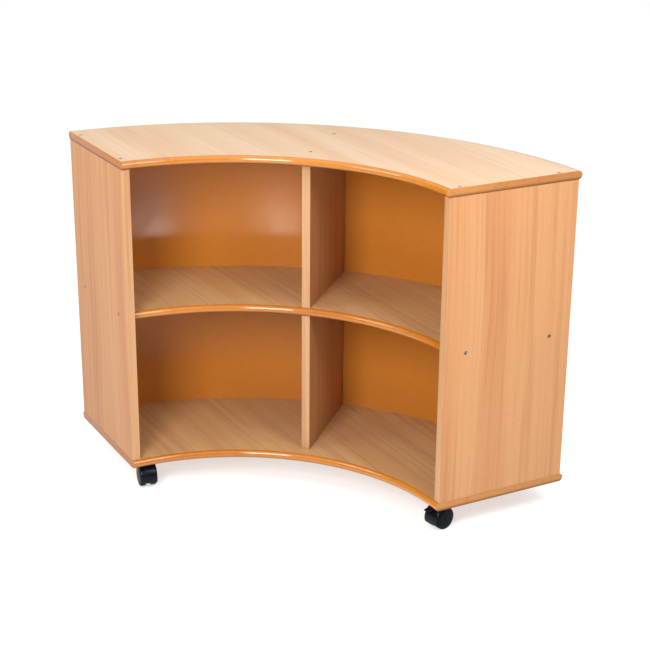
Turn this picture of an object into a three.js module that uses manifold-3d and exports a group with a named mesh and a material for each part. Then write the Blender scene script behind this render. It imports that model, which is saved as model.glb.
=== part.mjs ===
// Curved mobile bookcase: a quarter ring in plan, open on its concave front, on four twin-wheel castors.
// Millimetres, +Z up, +Y towards the back. Boards are worked out in ring coordinates: the Z axis is the
// centre of the curve, 0 degrees points to the back and positive angles turn towards +X.
import * as THREE from 'three';
import { mergeVertices } from 'three/addons/utils/BufferGeometryUtils.js';
import Module from 'manifold-3d';

const wasm = await Module();
wasm.setup();

// carcass
const OUTER_RADIUS = 795;        // top and base, rear edge
const INNER_RADIUS = 470;        // top and base, concave front edge
const END_ANGLE = THREE.MathUtils.degToRad(45); // mid-plane of each side board
const BOARD = 18;                // board thickness
const HEIGHT = 755;
const BASE_UNDERSIDE = 62;       // castor height
const LOWER_BAY = 318;           // clear height under the shelf
const SIDE_FRONT_INSET = 7.7;    // side boards behind the front edge of the top
const SIDE_REAR_INSET = 7.5;
const SHELF_INSET = 26.4;
const DIVIDER_INSET = 33.2;
const BACK_FACE_RADIUS = 776.2;  // front face of the back sheet
const BACK_SHEET = 4;
const GROOVE_DEPTH = 5;          // back sheet let into the top, base and sides
const GAP = 0.3;                 // between pieces that touch
const RING_STEPS = 144;          // straight steps in a full turn of a board's edge
const NOSE_STEPS = 6;            // straight steps in a rounded edge

// levels
const BASE_TOP = BASE_UNDERSIDE + BOARD;
const SHELF_BOTTOM = BASE_TOP + LOWER_BAY;
const SHELF_TOP = SHELF_BOTTOM + BOARD;
const TOP_UNDERSIDE = HEIGHT - BOARD;

// screws: radii of the head, the shank and the drive recess in the head
const PANEL_SCREW = { head: 4, rim: 0.6, sink: 2, shank: 2.1, length: 44, point: 3, drive: 1.7, depth: 1.4 };
const SHELF_SCREW_REACH = [59, 266]; // distances back from the front corner of the top
const TOP_SCREW_REACH = { side: [505, 742], middle: [536, 711] }; // distances from the centre of the curve
const PLATE_SCREW = { head: 3.6, height: 2, dome: 0.8, shank: 2, length: 13, drive: 1.4, depth: 1.1 };
const SCREW_STEPS = 8;

// castors, in their own frame: pin on the Z axis, axle along X, wheels trailing towards -Y
const WHEEL_RADIUS = 25;
const WHEEL_WIDTH = 12;          // tread
const WHEEL_GAP = 12;            // between the two treads
const WHEEL_BULGE = 2.5;         // outer face crowned
const TRAIL = 13;                // axle behind the pin
const AXLE_RADIUS = 3;
const PIN_RADIUS = 3.5;
const PIN_CLEARANCE = 0.3;
const AXLE_HALF_LENGTH = 15;
const PIN_BOTTOM = 34.2;
// the hood caps the wheels from below the axle on the trailing side, over the top, to the pin boss;
// angles count up from the trailing horizontal
const HOOD = { inner: 26.5, outer: 29, width: 37, from: -20, to: 140, web: 15, webFrom: 175 };
const HOOD_NOSE = [7, 31];       // [y, z] where the web leaves the pin boss
const HOOD_PLAN = [[18.5, -44], [18.5, -20], [14, 2], [9, 12]]; // [x, y] of the +X half, narrower at the boss
const BOSS = { radius: 10, bottom: 42, top: 58.8 };
const PLATE = { size: 42, corner: 5, thickness: 2.5, screwSpacing: 30, screwPlay: 0.5 };
const LEVER = { pivotY: -27, pivotZ: 53.2, barrel: 2.2, pin: 1.2, pinHalf: 9.8, width: 14 };
const PEDAL = [[-27, 55], [-27, 51.4], [-44, 49.6], [-55, 48.8], [-55.8, 50.6], [-46, 53.4]]; // [y, z]
const EAR = [[-31, 46], [-23, 46], [-24.4, 55.4], [-29.6, 55.4]]; // [y, z]
const EAR_WIDTH = 3;
const EAR_PLACE = 9;             // middle of an ear from the castor's middle plane
const CASTORS = [
  { name: 'front_left', x: -343, y: 394.5, heading: 36, plateTurn: 45, braked: false },
  { name: 'front_right', x: 343, y: 394.5, heading: -32, plateTurn: 45, braked: true },
  { name: 'rear_left', ...onRing(735, -22.5), heading: 160, plateTurn: 22.5, braked: true },
  { name: 'rear_right', ...onRing(735, 22.5), heading: 195, plateTurn: -22.5, braked: false },
];

const beech = new THREE.MeshStandardMaterial({ color: 0xdcae84, roughness: 0.45, metalness: 0 });
const beechSide = new THREE.MeshStandardMaterial({ color: 0xd09c74, roughness: 0.5, metalness: 0 });
const amberLacquer = new THREE.MeshStandardMaterial({ color: 0xb4691f, roughness: 0.22, metalness: 0 });
const blackNylon = new THREE.MeshStandardMaterial({ color: 0x15181c, roughness: 0.35, metalness: 0 });
const steel = new THREE.MeshStandardMaterial({ color: 0xb9bcc0, roughness: 0.3, metalness: 1 });

function onRing(radius, degrees) {
  const angle = THREE.MathUtils.degToRad(degrees);
  return { x: radius * Math.sin(angle), y: radius * Math.cos(angle) };
}

// ---- joining and cutting closed meshes ----

function volume(positions, index) {
  const a = new THREE.Vector3(), b = new THREE.Vector3(), c = new THREE.Vector3();
  let sum = 0;
  for (let i = 0; i < index.length; i += 3) {
    a.fromArray(positions, 3 * index[i]);
    b.fromArray(positions, 3 * index[i + 1]);
    c.fromArray(positions, 3 * index[i + 2]);
    sum += a.dot(b.cross(c)) / 6;
  }
  return sum;
}

// a closed geometry as a solid with its faces pointing out
function solidOf(geometry) {
  const bare = geometry.clone();
  bare.deleteAttribute('normal');
  bare.deleteAttribute('uv');
  const merged = mergeVertices(bare, 1e-4);
  const vertProperties = new Float32Array(merged.attributes.position.array);
  const triVerts = new Uint32Array(merged.index.array);
  if (volume(vertProperties, triVerts) < 0) {
    for (let i = 0; i < triVerts.length; i += 3) {
      [triVerts[i], triVerts[i + 1]] = [triVerts[i + 1], triVerts[i]];
    }
  }
  return new wasm.Manifold(new wasm.Mesh({ numProp: 3, vertProperties, triVerts }));
}

function geometryOf(solid) {
  const mesh = solid.getMesh();
  const geometry = new THREE.BufferGeometry();
  geometry.setAttribute('position', new THREE.BufferAttribute(new Float32Array(mesh.vertProperties), 3));
  geometry.setIndex(new THREE.BufferAttribute(new Uint32Array(mesh.triVerts), 1));
  geometry.computeVertexNormals();
  return geometry;
}

const joined = (...parts) => geometryOf(parts.map(solidOf).reduce((a, b) => a.add(b)));
const cut = (part, ...tools) =>
  geometryOf(tools.map(solidOf).reduce((a, b) => a.subtract(b), solidOf(part)));
const shared = (a, b) => geometryOf(solidOf(a).intersect(solidOf(b)));

// ---- basic shapes ----

// a closed profile of [radius, height] points turned about the Z axis; open profiles start and end on the axis
function turned(profile, steps) {
  const points = profile.map(([radius, height]) => new THREE.Vector2(radius, height));
  if (profile[0][0] > 0) points.push(points[0].clone());
  return new THREE.LatheGeometry(points, steps).rotateX(Math.PI / 2);
}

function prism(points, bottom, height) {
  const shape = new THREE.Shape(points.map(([x, y]) => new THREE.Vector2(x, y)));
  return new THREE.ExtrudeGeometry(shape, { depth: height, bevelEnabled: false }).translate(0, 0, bottom);
}

// an outline of [y, z] points, pushed out along X to a width centred on the YZ plane
function sideways(points, width) {
  const turn = new THREE.Matrix4().makeBasis(
    new THREE.Vector3(0, 1, 0), new THREE.Vector3(0, 0, 1), new THREE.Vector3(1, 0, 0));
  return prism(points, -width / 2, width).applyMatrix4(turn);
}

function rod(radius, from, to, y, z, steps = 24) {
  return new THREE.CylinderGeometry(radius, radius, to - from, steps)
    .rotateZ(Math.PI / 2).translate((from + to) / 2, y, z);
}

function post(radius, bottom, top, steps = 24) {
  return new THREE.CylinderGeometry(radius, radius, top - bottom, steps)
    .rotateX(Math.PI / 2).translate(0, 0, (bottom + top) / 2);
}

function arc(centreA, centreB, radius, fromDegrees, toDegrees, steps) {
  const points = [];
  for (let i = 0; i <= steps; i += 1) {
    const angle = THREE.MathUtils.degToRad(fromDegrees + ((toDegrees - fromDegrees) * i) / steps);
    points.push([centreA + radius * Math.cos(angle), centreB + radius * Math.sin(angle)]);
  }
  return points;
}

// ---- ring boards ----

// everything between two upright planes parallel to the end radials; a positive offset lies outside them
function wedge(offset) {
  const reach = 2 * OUTER_RADIUS;
  const sine = Math.sin(END_ANGLE), cosine = Math.cos(END_ANGLE);
  const far = [reach * sine + offset * cosine, reach * cosine - offset * sine];
  const apex = -offset / Math.sin(END_ANGLE);
  return prism([[0, apex], far, [0, 2 * reach], [-far[0], far[1]]], 0, 2 * HEIGHT);
}

const ringSector = (profile, endOffset) => shared(turned(profile, RING_STEPS), wedge(endOffset));

function roundedProfile(inner, outer, bottom) {
  const half = BOARD / 2;
  const middle = bottom + half;
  return [
    ...arc(inner + half, middle, half, 270, 90, NOSE_STEPS),
    ...arc(outer - half, middle, half, 90, -90, NOSE_STEPS),
  ];
}

function shelfProfile(inner, outer) {
  const half = BOARD / 2;
  return [
    ...arc(inner + half, SHELF_BOTTOM + half, half, 270, 90, NOSE_STEPS),
    [outer, SHELF_TOP],
    [outer, SHELF_BOTTOM],
  ];
}

// the back sheet, or with a clearance the groove it sits in
function backSheet(clearance) {
  const inner = BACK_FACE_RADIUS - clearance;
  const outer = BACK_FACE_RADIUS + BACK_SHEET + clearance;
  const bottom = BASE_TOP - GROOVE_DEPTH + GAP - clearance;
  const top = TOP_UNDERSIDE + GROOVE_DEPTH - GAP + clearance;
  const profile = [[inner, bottom], [inner, top], [outer, top], [outer, bottom]];
  return ringSector(profile, -BOARD / 2 + GROOVE_DEPTH - GAP + clearance);
}

// ---- upright boards ----

// a board standing on a radial line: reach is the distance from the centre of the curve
function uprightBoard(frontReach, rearReach, bottom, top, angle) {
  return new THREE.BoxGeometry(BOARD, rearReach - frontReach, top - bottom)
    .translate(0, (frontReach + rearReach) / 2, (bottom + top) / 2)
    .rotateZ(-angle);
}

// ---- screws ----

// countersunk, head flush at the origin, shank towards -Z
function panelScrew() {
  const { head, rim, sink, shank, length, point, drive, depth } = PANEL_SCREW;
  return turned([
    [0, -depth], [drive, -depth], [drive, 0], [head, 0], [head, -rim],
    [shank, -rim - sink], [shank, point - length], [0, -length],
  ], SCREW_STEPS);
}

// the hole the same screw sits in, open a little way above its head
function panelScrewHole() {
  const { head, rim, sink, shank, length, point } = PANEL_SCREW;
  return turned([
    [0, rim], [head + GAP, rim], [head + GAP, -rim - GAP],
    [shank + GAP, -rim - sink - GAP], [shank + GAP, point - length], [0, -length - GAP],
  ], SCREW_STEPS);
}

// pan head hanging under a plate whose lower face is at z = 0, shank towards +Z
function plateScrew() {
  const { head, height, dome, shank, length, drive, depth } = PLATE_SCREW;
  const under = -GAP, face = under - height;
  return turned([
    [0, face + depth], [drive, face + depth], [drive, face], [head - dome, face], [head, face + dome],
    [head, under], [shank, under], [shank, length], [0, length + shank],
  ], SCREW_STEPS);
}

const plateScrewHole = () => post(PLATE_SCREW.shank + GAP, 0, PLATE_SCREW.length + PLATE_SCREW.shank + GAP,
  SCREW_STEPS);

function aimed(geometry, position, outward) {
  const turn = new THREE.Quaternion().setFromUnitVectors(new THREE.Vector3(0, 0, 1), outward);
  return geometry.applyQuaternion(turn).translate(position.x, position.y, position.z);
}

function shelfScrewPlaces() {
  const places = [];
  const cornerReach = Math.sqrt(INNER_RADIUS ** 2 - (BOARD / 2) ** 2);
  for (const [side, sign] of [['left', -1], ['right', 1]]) {
    const along = new THREE.Vector3(sign * Math.sin(END_ANGLE), Math.cos(END_ANGLE), 0);
    const outward = new THREE.Vector3(sign * Math.cos(END_ANGLE), -Math.sin(END_ANGLE), 0);
    SHELF_SCREW_REACH.forEach((back, i) => {
      const position = along.clone().multiplyScalar(cornerReach + back)
        .addScaledVector(outward, BOARD / 2).setZ(SHELF_BOTTOM + BOARD / 2);
      places.push({ name: `shelf_screw_${side}_${i ? 'rear' : 'front'}`, position, outward });
    });
  }
  return places;
}

function topScrewPlaces() {
  const places = [];
  for (const [side, degrees] of [['left', -45], ['middle', 0], ['right', 45]]) {
    const reaches = side === 'middle' ? TOP_SCREW_REACH.middle : TOP_SCREW_REACH.side;
    reaches.forEach((reach, i) => {
      const { x, y } = onRing(reach, degrees);
      places.push({
        name: `top_screw_${side}_${i ? 'rear' : 'front'}`,
        position: new THREE.Vector3(x, y, HEIGHT),
        outward: new THREE.Vector3(0, 0, 1),
      });
    });
  }
  return places;
}

// ---- castor pieces ----

const plateLevel = BASE_UNDERSIDE - GAP - PLATE.thickness; // lower face of the fixing plate

const plateCorners = () => [[1, 1], [-1, 1], [-1, -1], [1, -1]];

function castorPlate() {
  const half = PLATE.size / 2 - PLATE.corner;
  const outline = plateCorners().flatMap(([x, y], i) =>
    arc(x * half, y * half, PLATE.corner, 90 * i, 90 * (i + 1), 3));
  const holes = plateCorners().map(([x, y]) =>
    post(PLATE_SCREW.shank + PLATE.screwPlay, 0, 2 * BASE_UNDERSIDE, SCREW_STEPS)
      .translate(x * PLATE.screwSpacing / 2, y * PLATE.screwSpacing / 2, 0));
  const plate = prism(outline, plateLevel, PLATE.thickness);
  const pin = post(PIN_RADIUS, PIN_BOTTOM, plateLevel + PLATE.thickness / 2, 16);
  return cut(joined(plate, pin), ...holes);
}

// side outline of the hood and its web: a round cap over the wheels that runs down to a smaller round web
function hoodOutline() {
  const mirrored = (points) => points.map(([y, z]) => [-2 * TRAIL - y, z]);
  const cap = mirrored(arc(-TRAIL, WHEEL_RADIUS, HOOD.outer, HOOD.from, HOOD.to, 14));
  const web = mirrored(arc(-TRAIL, WHEEL_RADIUS, HOOD.web, HOOD.webFrom, 360 + HOOD.from, 8));
  return [...cap, HOOD_NOSE, ...web];
}

const brakeEars = () => [-1, 1].map((side) => sideways(EAR, EAR_WIDTH).translate(side * EAR_PLACE, 0, 0));

function castorHousing(braked) {
  const plan = [...HOOD_PLAN, ...HOOD_PLAN.map(([x, y]) => [-x, y]).reverse()];
  const cap = shared(sideways(hoodOutline(), HOOD.width), prism(plan, 0, 2 * BASE_UNDERSIDE));
  const boss = post(BOSS.radius, BOSS.bottom, BOSS.top, 20);
  const body = braked ? joined(cap, boss, ...brakeEars()) : joined(cap, boss);
  const webHalf = WHEEL_GAP / 2 - GAP;
  const wheelSpace = [[-HOOD.width, -webHalf], [webHalf, HOOD.width]].map(([from, to]) =>
    rod(HOOD.inner, from, to, -TRAIL, WHEEL_RADIUS, 28));
  const pinBore = post(PIN_RADIUS + PIN_CLEARANCE, PIN_BOTTOM - 2 * GAP, 2 * BASE_UNDERSIDE, 16);
  const axleBore = rod(AXLE_RADIUS + GAP, -HOOD.width, HOOD.width, -TRAIL, WHEEL_RADIUS, 12);
  const leverBore = rod(LEVER.pin + GAP, -HOOD.width, HOOD.width, LEVER.pivotY, LEVER.pivotZ, 8);
  return cut(body, ...wheelSpace, pinBore, axleBore, ...(braked ? [leverBore] : []));
}

// one wheel: hollow inner side with a hub, crowned outer face; its inner face looks at the web
function castorWheel(side) {
  const bore = AXLE_RADIUS + GAP;
  const hub = 6.5, rimInside = 20, wall = 4, chamfer = 0.9;
  const radius = WHEEL_RADIUS, width = WHEEL_WIDTH;
  const profile = [
    [0, width - 2], [bore, width - 2], [bore, 0], [hub, 0], [hub, width - wall],
    [rimInside, width - wall], [rimInside, 0], [radius - chamfer, 0], [radius, chamfer],
    [radius, width - chamfer], [radius * 0.92, width + WHEEL_BULGE * 0.3],
    [radius * 0.5, width + WHEEL_BULGE * 0.85], [0, width + WHEEL_BULGE],
  ];
  return turned(profile, 26)
    .rotateY((side * Math.PI) / 2)
    .translate((side * WHEEL_GAP) / 2, -TRAIL, WHEEL_RADIUS);
}

const castorAxle = () => rod(AXLE_RADIUS, -AXLE_HALF_LENGTH, AXLE_HALF_LENGTH, -TRAIL, WHEEL_RADIUS, 12);

function brakeLever() {
  const { pivotY, pivotZ, barrel, pin, pinHalf, width } = LEVER;
  return joined(
    sideways(PEDAL, width - 1),
    rod(barrel, -width / 2, width / 2, pivotY, pivotZ, 8),
    rod(pin, -pinHalf, pinHalf, pivotY, pivotZ, 8),
  );
}

// ---- assembly ----

const bookcase = new THREE.Group();
const frontCornerY = Math.sqrt(INNER_RADIUS ** 2 - (BOARD / 2) ** 2) * Math.cos(END_ANGLE)
  - (BOARD / 2) * Math.sin(END_ANGLE);
const ring = new THREE.Group();
ring.position.y = -(frontCornerY + OUTER_RADIUS) / 2; // the middle of the footprint lies on the origin
bookcase.add(ring);

function add(parent, name, geometry, material) {
  const mesh = new THREE.Mesh(geometry, material);
  mesh.name = name;
  parent.add(mesh);
}

const shelfScrews = shelfScrewPlaces();
const topScrews = topScrewPlaces();
const screwHoles = (places) => places.map(({ position, outward }) =>
  aimed(panelScrewHole(), position, outward));

function plateScrewPlaces(castor) {
  const turn = THREE.MathUtils.degToRad(castor.plateTurn);
  return plateCorners().map(([x, y]) => new THREE.Vector3(x, y, 0)
    .multiplyScalar(PLATE.screwSpacing / 2)
    .applyAxisAngle(new THREE.Vector3(0, 0, 1), turn)
    .add(new THREE.Vector3(castor.x, castor.y, plateLevel)));
}

function addBoards() {
  const groove = backSheet(GAP);
  const castorHoles = CASTORS.flatMap(plateScrewPlaces)
    .map(({ x, y, z }) => plateScrewHole().translate(x, y, z));
  const endOffset = BOARD / 2;
  const top = ringSector(roundedProfile(INNER_RADIUS, OUTER_RADIUS, TOP_UNDERSIDE), endOffset);
  const base = ringSector(roundedProfile(INNER_RADIUS, OUTER_RADIUS, BASE_UNDERSIDE), endOffset);
  add(ring, 'top_panel', cut(top, groove, ...screwHoles(topScrews)), beech);
  add(ring, 'base_panel', cut(base, groove, ...castorHoles), beech);

  const cornerReach = Math.sqrt(INNER_RADIUS ** 2 - (BOARD / 2) ** 2);
  for (const [side, angle] of [['left', -END_ANGLE], ['right', END_ANGLE]]) {
    const board = uprightBoard(cornerReach + SIDE_FRONT_INSET, OUTER_RADIUS - SIDE_REAR_INSET,
      BASE_TOP + GAP, TOP_UNDERSIDE - GAP, angle);
    const ownScrews = [...shelfScrews, ...topScrews].filter(({ name }) => name.includes(side));
    add(ring, `side_panel_${side}`, cut(board, groove, ...screwHoles(ownScrews)), beechSide);
  }

  const rear = BACK_FACE_RADIUS - GAP;
  const shelf = ringSector(shelfProfile(INNER_RADIUS + SHELF_INSET, rear), -BOARD / 2 - GAP);
  add(ring, 'shelf', cut(shelf, ...screwHoles(shelfScrews)), beech);

  const dividerFront = INNER_RADIUS + DIVIDER_INSET;
  const dividerRear = Math.sqrt(BACK_FACE_RADIUS ** 2 - (BOARD / 2) ** 2) - 2 * GAP;
  const upper = uprightBoard(dividerFront, dividerRear, SHELF_TOP + GAP, TOP_UNDERSIDE - GAP, 0);
  const lower = uprightBoard(dividerFront, dividerRear, BASE_TOP + GAP, SHELF_BOTTOM - GAP, 0);
  const middleScrews = topScrews.filter(({ name }) => name.includes('middle'));
  add(ring, 'divider_upper', cut(upper, ...screwHoles(middleScrews)), beechSide);
  add(ring, 'divider_lower', geometryOf(solidOf(lower)), beechSide);
  add(ring, 'back_panel', backSheet(0), amberLacquer);
}

function addPanelScrews() {
  for (const { name, position, outward } of [...shelfScrews, ...topScrews]) {
    add(ring, name, geometryOf(solidOf(aimed(panelScrew(), position, outward))), steel);
  }
}

function addCastor(castor) {
  const { name, x, y, heading, plateTurn, braked } = castor;
  const fixed = new THREE.Group();
  fixed.position.set(x, y, 0);
  fixed.rotation.z = THREE.MathUtils.degToRad(plateTurn);
  ring.add(fixed);
  add(fixed, `castor_${name}_plate`, castorPlate(), steel);
  plateScrewPlaces(castor).forEach((place, i) => {
    const screw = geometryOf(solidOf(plateScrew().translate(place.x, place.y, place.z)));
    add(ring, `castor_${name}_screw_${i + 1}`, screw, steel);
  });

  const swivel = new THREE.Group();
  swivel.position.set(x, y, 0);
  swivel.rotation.z = THREE.MathUtils.degToRad(heading);
  ring.add(swivel);
  add(swivel, `castor_${name}_housing`, castorHousing(braked), blackNylon);
  add(swivel, `castor_${name}_axle`, geometryOf(solidOf(castorAxle())), steel);
  for (const [side, sign] of [['a', -1], ['b', 1]]) {
    add(swivel, `castor_${name}_wheel_${side}`, geometryOf(solidOf(castorWheel(sign))), blackNylon);
  }
  if (braked) add(swivel, `castor_${name}_brake_lever`, brakeLever(), blackNylon);
}

addBoards();
addPanelScrews();
CASTORS.forEach(addCastor);

export default bookcase;
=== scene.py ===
# Looks of the curved mobile bookcase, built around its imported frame. Metres, +Z up, +Y towards the back.
# Boards are set out from the centre of the curve: angle 0 points to the back, positive angles turn to +X.
import math

import bpy
from mathutils import Matrix, Vector


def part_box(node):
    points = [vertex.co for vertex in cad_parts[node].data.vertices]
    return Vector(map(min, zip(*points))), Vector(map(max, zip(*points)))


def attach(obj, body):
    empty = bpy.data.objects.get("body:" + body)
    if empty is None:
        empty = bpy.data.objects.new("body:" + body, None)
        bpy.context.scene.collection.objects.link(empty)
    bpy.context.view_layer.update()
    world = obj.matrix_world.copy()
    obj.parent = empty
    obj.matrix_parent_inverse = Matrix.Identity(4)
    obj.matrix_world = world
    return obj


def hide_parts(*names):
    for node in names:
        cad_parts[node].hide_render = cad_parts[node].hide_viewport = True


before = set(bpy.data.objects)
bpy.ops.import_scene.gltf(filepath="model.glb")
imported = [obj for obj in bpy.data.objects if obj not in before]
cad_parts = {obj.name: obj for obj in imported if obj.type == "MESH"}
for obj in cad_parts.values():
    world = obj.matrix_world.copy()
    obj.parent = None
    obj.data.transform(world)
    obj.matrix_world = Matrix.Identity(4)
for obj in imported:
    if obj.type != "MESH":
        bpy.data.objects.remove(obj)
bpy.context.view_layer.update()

MM = 0.001


def in_mm(points):
    """Flat points given in millimetres, in metres."""
    return [(first * MM, second * MM) for first, second in points]


# boards
OUTER_RADIUS = 795 * MM
INNER_RADIUS = 470 * MM
END_ANGLE = math.radians(45)      # mid-plane of each side board
SHELF_FRONT_RADIUS = 496.4 * MM
BACK_FACE_RADIUS = 776.2 * MM     # front face of the back sheet
END_COAT = 0.5 * MM               # lacquer film over the straight ends of the top and base
EDGING = 1.2 * MM                 # edging strips on the front and rear edges of upright boards
EASED = 0.25 * MM                 # corners of boards taken off
GLUE_LINE = 0.12 * MM             # groove between a board and its rounded nose
BACK_GAP = 2.6 * MM               # between a divider and the back sheet
RING_STEPS = 120                  # straight steps along a ring board
NOSE_STEPS = 16                   # straight steps round a nose

top_low, top_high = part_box("top_panel")
base_low, base_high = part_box("base_panel")
shelf_low, shelf_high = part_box("shelf")
_, back_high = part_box("back_panel")
BOARD = top_high.z - top_low.z
HALF_BOARD = BOARD / 2
CENTRE = Vector((0, top_high.y - OUTER_RADIUS, 0))
RIGHT_ALONG = Vector((math.sin(END_ANGLE), math.cos(END_ANGLE), 0))
RIGHT_OUTWARD = Vector((math.cos(END_ANGLE), -math.sin(END_ANGLE), 0))
UP = Vector((0, 0, 1))


def end_axes(sign):
    """Along an end of the ring and outward from it; the sign is -1 for the left end and 1 for the right."""
    return (Vector((sign * RIGHT_ALONG.x, RIGHT_ALONG.y, 0)),
            Vector((sign * RIGHT_OUTWARD.x, RIGHT_OUTWARD.y, 0)))


SHEET_GRAIN, _ = end_axes(-1)     # the grain of the ring boards runs parallel to the left end
SHEET_ACROSS = RIGHT_ALONG


# ---------------------------------------------------------------- node trees

class Field:
    """A socket in a node tree. Arithmetic on it adds Math nodes."""

    def __init__(self, tree, socket):
        self.tree, self.socket = tree, socket

    def __add__(self, other):
        return self.tree.math("ADD", self, other)

    def __sub__(self, other):
        return self.tree.math("SUBTRACT", self, other)

    def __rsub__(self, other):
        return self.tree.math("SUBTRACT", other, self)

    def __mul__(self, other):
        return self.tree.math("MULTIPLY", self, other)

    def __truediv__(self, other):
        return self.tree.math("DIVIDE", self, other)

    __radd__, __rmul__ = __add__, __mul__


class Tree:
    """Builds a node tree. node() adds any node: its settings are set first, then its sockets."""

    def __init__(self, tree):
        self.nodes, self.links = tree.nodes, tree.links

    def node(self, kind, settings=None, inputs=None, output=0):
        made = self.nodes.new(kind)
        for name, value in (settings or {}).items():
            if name == "stops":
                self.set_stops(made.color_ramp, value)
            else:
                setattr(made, name, value)
        for socket, value in (inputs or {}).items():
            self.feed(made.inputs[socket], value)
        return Field(self, made.outputs[output])

    def feed(self, socket, value):
        if isinstance(value, Field):
            self.links.new(value.socket, socket)
        else:
            socket.default_value = value

    @staticmethod
    def set_stops(ramp, stops):
        while len(ramp.elements) < len(stops):
            ramp.elements.new(1)
        for element, (position, level) in zip(ramp.elements, stops):
            element.position = position
            element.color = (level, level, level, 1)

    def math(self, operation, *values):
        return self.node("ShaderNodeMath", {"operation": operation}, dict(enumerate(values)))

    def vector(self, x, y, z):
        return self.node("ShaderNodeCombineXYZ", {}, {0: x, 1: y, 2: z})

    def parts(self, vector):
        made = self.node("ShaderNodeSeparateXYZ", {}, {0: vector})
        sockets = made.socket.node.outputs
        return [Field(self, sockets[i]) for i in range(3)]

    def mix(self, factor, first, second, blend="MIX"):
        settings = {"data_type": "RGBA", "blend_type": blend}
        return self.node("ShaderNodeMix", settings, {0: factor, 6: first, 7: second}, output=2)

    def noise(self, place, scale=1.0, detail=2.0, roughness=0.5):
        inputs = {"Vector": place, "Scale": scale, "Detail": detail, "Roughness": roughness}
        return self.node("ShaderNodeTexNoise", {}, inputs)

    def between(self, value, low, high):
        """0 below low, 1 above high, smooth in between."""
        inputs = {"Value": value, "From Min": low, "From Max": high}
        return self.node("ShaderNodeMapRange", {"interpolation_type": "SMOOTHSTEP"}, inputs)


# ---------------------------------------------------------------- finishes

def shade(red, green, blue):
    """A display colour, 0 to 255, as a linear one."""
    def linear(level):
        part = level / 255
        return part / 12.92 if part <= 0.04045 else ((part + 0.055) / 1.055) ** 2.4
    return (linear(red), linear(green), linear(blue), 1.0)


class Finish(Tree):
    """A material with one Principled shader. Constants go straight on the shader's own sockets."""

    def __init__(self, name, **constants):
        self.material = bpy.data.materials.new(name)
        self.material.use_nodes = True
        super().__init__(self.material.node_tree)
        self.shader = self.nodes["Principled BSDF"]
        for socket, value in constants.items():
            self.shader.inputs[socket.replace("_", " ")].default_value = value

    def paint(self, **fields):
        for socket, value in fields.items():
            self.feed(self.shader.inputs[socket.replace("_", " ")], value)
        return self.material

    def place(self):
        return self.node("ShaderNodeTexCoord", {}, {}, output="Object")

    def grain(self):
        """The board's own coordinates: along the grain, across it and through the board."""
        return self.parts(self.node("ShaderNodeAttribute", {"attribute_name": "grain"}, {}, output="Vector"))

    def bump(self, height, strength, distance):
        inputs = {"Height": height, "Strength": strength, "Distance": distance}
        return self.node("ShaderNodeBump", {}, inputs)


def beech(name, pale, warm, dark, gloss, contrast=1.0, **constants):
    """Beech-effect face: broad tinted bands, streaks that lean a little, fine fibres and short flecks."""
    finish = Finish(name, **constants)
    along, across, through = finish.grain()
    drift = finish.noise(finish.vector(along * 1.6, across * 4.0, through), detail=1.0)
    waved = across + (drift - 0.5) * 0.030
    bands = finish.noise(finish.vector(along * 0.7, waved * 17.0, through), detail=2.0)
    streaks = finish.noise(finish.vector(along * 1.9, waved * 95.0, through + 3.0), detail=3.0)
    lines = finish.noise(finish.vector(along * 1.1, waved * 260.0, through + 5.0), detail=2.0)
    fibres = finish.noise(finish.vector(along * 22.0, waved * 1300.0, through + 7.0), detail=2.0)
    flecks = finish.noise(finish.vector(along * 130.0, waved * 950.0, through + 9.0), detail=1.0)
    fleck_mask = finish.between(flecks, 0.60, 0.70)
    tint = finish.mix(finish.between(bands, 0.30, 0.70), pale, warm)
    streak_share = finish.between(streaks, 0.46, 0.74) * (0.42 * contrast)
    tint = finish.mix(streak_share, tint, dark)
    tint = finish.mix(finish.between(lines, 0.50, 0.72) * (0.26 * contrast), tint, dark)
    tint = finish.mix(finish.between(streaks, 0.50, 0.28) * (0.30 * contrast), tint, pale)
    tint = finish.mix(fibres * (0.16 * contrast), tint, dark)
    tint = finish.mix(fleck_mask * (0.30 * contrast), tint, dark)
    wear = finish.noise(finish.place(), scale=9.0, detail=4.0)
    roughness = gloss + (wear - 0.5) * 0.10 + fibres * 0.05
    height = fibres * 0.6 + fleck_mask * -0.5 + lines * 0.3
    return finish.paint(Base_Color=tint, Roughness=roughness, Normal=finish.bump(height, 0.22, 0.0001))


def lacquer(name, body, deep, bright, gloss, peel, uneven=1.0, painted_low_shade=0.0, **constants):
    """Clear amber lacquer: its colour pools and thins slowly, over a faint orange-peel surface. Painted shade
    darkens the lower edge of a board, which the piece's own rise attribute marks from 0 to 1; its argument
    sets how strong it is."""
    finish = Finish(name, **constants)
    place = finish.place()
    pooled = finish.noise(place, scale=3.0, detail=1.0)
    mottled = finish.noise(place, scale=60.0, detail=3.0)
    specks = finish.noise(place, scale=900.0, detail=1.0)
    tint = finish.mix(finish.between(pooled, 0.30, 0.72) * uneven, body, bright)
    tint = finish.mix(finish.between(mottled, 0.50, 0.78) * (0.25 * uneven), tint, deep)
    tint = finish.mix(finish.between(specks, 0.62, 0.72) * 0.14, tint, deep)
    # painted shade: the lower edge of the board turns towards a dark brown
    if painted_low_shade:
        rise = finish.node("ShaderNodeAttribute", {"attribute_name": "rise"}, {}, output="Fac")
        low_shade_mask = finish.between(rise + (mottled - 0.5) * 0.06, 0.42, 0.02)
        tint = finish.mix(low_shade_mask * painted_low_shade, tint, shade(78, 32, 8))
    handled = finish.noise(place, scale=14.0, detail=5.0, roughness=0.65)
    roughness = gloss + finish.between(handled, 0.45, 0.80) * 0.07
    height = finish.noise(place, scale=320.0, detail=1.0) + mottled * 0.6
    return finish.paint(Base_Color=tint, Roughness=roughness, Normal=finish.bump(height, peel, 0.00025))


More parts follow.
